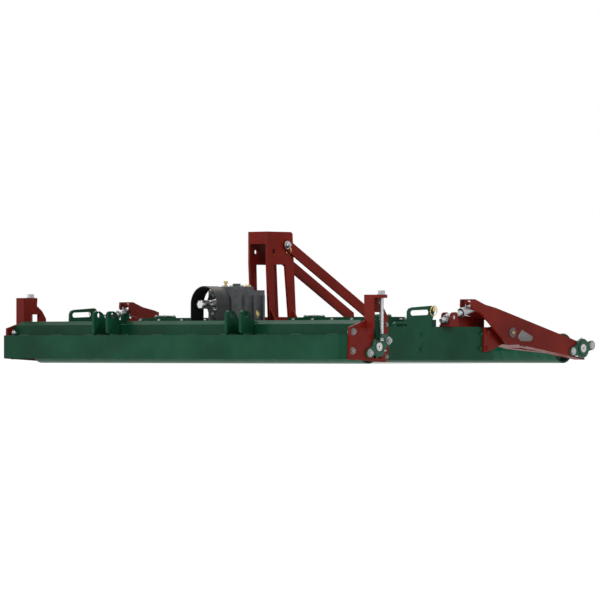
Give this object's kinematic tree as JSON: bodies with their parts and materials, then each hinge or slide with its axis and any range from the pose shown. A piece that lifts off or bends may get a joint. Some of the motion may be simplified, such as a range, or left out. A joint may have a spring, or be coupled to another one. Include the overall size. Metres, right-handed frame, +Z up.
{
  "type": "three-point mounted rotary mower",
  "caption": "Rotary mower deck with underslung rotors, a full-width front roller, a rear roller on height-adjusting arms and a three-point hitch.",
  "frame": {"origin": "on the floor under the middle of the mower's outline", "axes": "+X across the mower to its right-hand side as seen from the hitch, -Y towards the tractor, +Z up"},
  "size_m": [1.936, 1.4367, 0.518],
  "materials": {
    "green_paint": "glossy dark green paint",
    "roller_green": "glossy green paint",
    "flange_green": "glossy green paint",
    "red_paint": "dark red paint",
    "mast_red": "red paint",
    "dish_red": "red paint",
    "zinc": "zinc plated",
    "bright_steel": "turned steel",
    "blade_steel": "dark rolled steel",
    "black_castings": "black paint on castings",
    "guard_black": "black powder coat",
    "gearbox_casting": "painted casting"
  },
  "bodies": {
    "deck": {"deck_plate": "green_paint", "front_fascia": "green_paint", "side_plate_left": "green_paint", "side_plate_right": "green_paint", "rear_skirt": "green_paint", "baffle_left": "green_paint", "baffle_middle": "green_paint", "baffle_right": "green_paint", "spindle_housings": "black_castings", "front_bracket_left": "red_paint", "front_bracket_right": "red_paint", "height_screws": "zinc", "hitch_beam": "green_paint", "roller_hood": "green_paint", "lower_lugs": "green_paint", "top_mast": "mast_red", "mast_stays": "mast_red", "rear_beam": "green_paint", "gearbox": "gearbox_casting", "shaft_guard": "guard_black", "belt_cover": "green_paint", "rear_stays": "green_paint", "screw_clevises": "red_paint", "arm_bracket_left": "red_paint", "arm_bracket_right": "red_paint", "arm_pins": "zinc"},
    "input_shaft": {"input_shaft": "bright_steel"},
    "rotor_left": {"rotor_shaft_left": "bright_steel", "rotor_dish_left": "dish_red", "rotor_blades_left": "blade_steel"},
    "rotor_middle": {"rotor_shaft_middle": "bright_steel", "rotor_dish_middle": "dish_red", "rotor_blades_middle": "blade_steel"},
    "rotor_right": {"rotor_shaft_right": "bright_steel", "rotor_dish_right": "dish_red", "rotor_blades_right": "blade_steel"},
    "front_carrier": {"front_flanges": "flange_green"},
    "front_roller": {"front_roller": "roller_green"},
    "rear_arms": {"rear_arm_left": "red_paint", "rear_arm_right": "red_paint", "rear_flanges": "flange_green"},
    "rear_roller": {"rear_roller": "roller_green"},
    "adjuster_screws": {"adjuster_screws": "zinc"},
    "adjuster_tubes": {"adjuster_tubes": "zinc"}
  },
  "joints": [
    {"name": "rotor_middle_spin", "type": "hinge", "parent": "deck", "child": "rotor_middle", "pos_m": [0, 0.13, 0.05], "axis": [0, 0, 1], "continuous": true},
    {"name": "rotor_left_spin", "type": "hinge", "parent": "deck", "child": "rotor_left", "pos_m": [-0.582, -0.125, 0.05], "axis": [0, 0, 1], "continuous": true},
    {"name": "rotor_right_spin", "type": "hinge", "parent": "deck", "child": "rotor_right", "pos_m": [0.582, -0.125, 0.05], "axis": [0, 0, 1], "continuous": true},
    {"name": "input_spin", "type": "hinge", "parent": "deck", "child": "input_shaft", "pos_m": [0, -0.45, 0.229], "axis": [0, 1, 0], "continuous": true},
    {"name": "front_height", "type": "slide", "parent": "deck", "child": "front_carrier", "axis": [0, 0, 1], "range_m": [-0.02, 0.025]},
    {"name": "front_roller_spin", "type": "hinge", "parent": "front_carrier", "child": "front_roller", "pos_m": [0, -0.525, 0.064], "axis": [1, 0, 0], "continuous": true},
    {"name": "rear_height", "type": "hinge", "parent": "deck", "child": "rear_arms", "pos_m": [0, 0.225, 0.119], "axis": [1, 0, 0], "range_deg": [-4, 3]},
    {"name": "rear_roller_spin", "type": "hinge", "parent": "rear_arms", "child": "rear_roller", "pos_m": [0, 0.643, 0.0585], "axis": [1, 0, 0], "continuous": true},
    {"name": "screw_swing", "type": "hinge", "parent": "deck", "child": "adjuster_screws", "pos_m": [0, -0.113, 0.177], "axis": [1, 0, 0], "range_deg": [-3.2, 4.2]},
    {"name": "tube_swing", "type": "hinge", "parent": "rear_arms", "child": "adjuster_tubes", "pos_m": [0, 0.035, 0.217], "axis": [1, 0, 0], "range_deg": [-6.3, 8.3]}
  ],
  "couplings": [
    {"joint": "rotor_left_spin", "follows": "rotor_middle_spin", "ratio": 1},
    {"joint": "rotor_right_spin", "follows": "rotor_middle_spin", "ratio": 1},
    {"joint": "input_spin", "follows": "rotor_middle_spin", "ratio": 0.25},
    {"joint": "screw_swing", "follows": "rear_height", "ratio": -1},
    {"joint": "tube_swing", "follows": "rear_height", "ratio": -2}
  ]
}
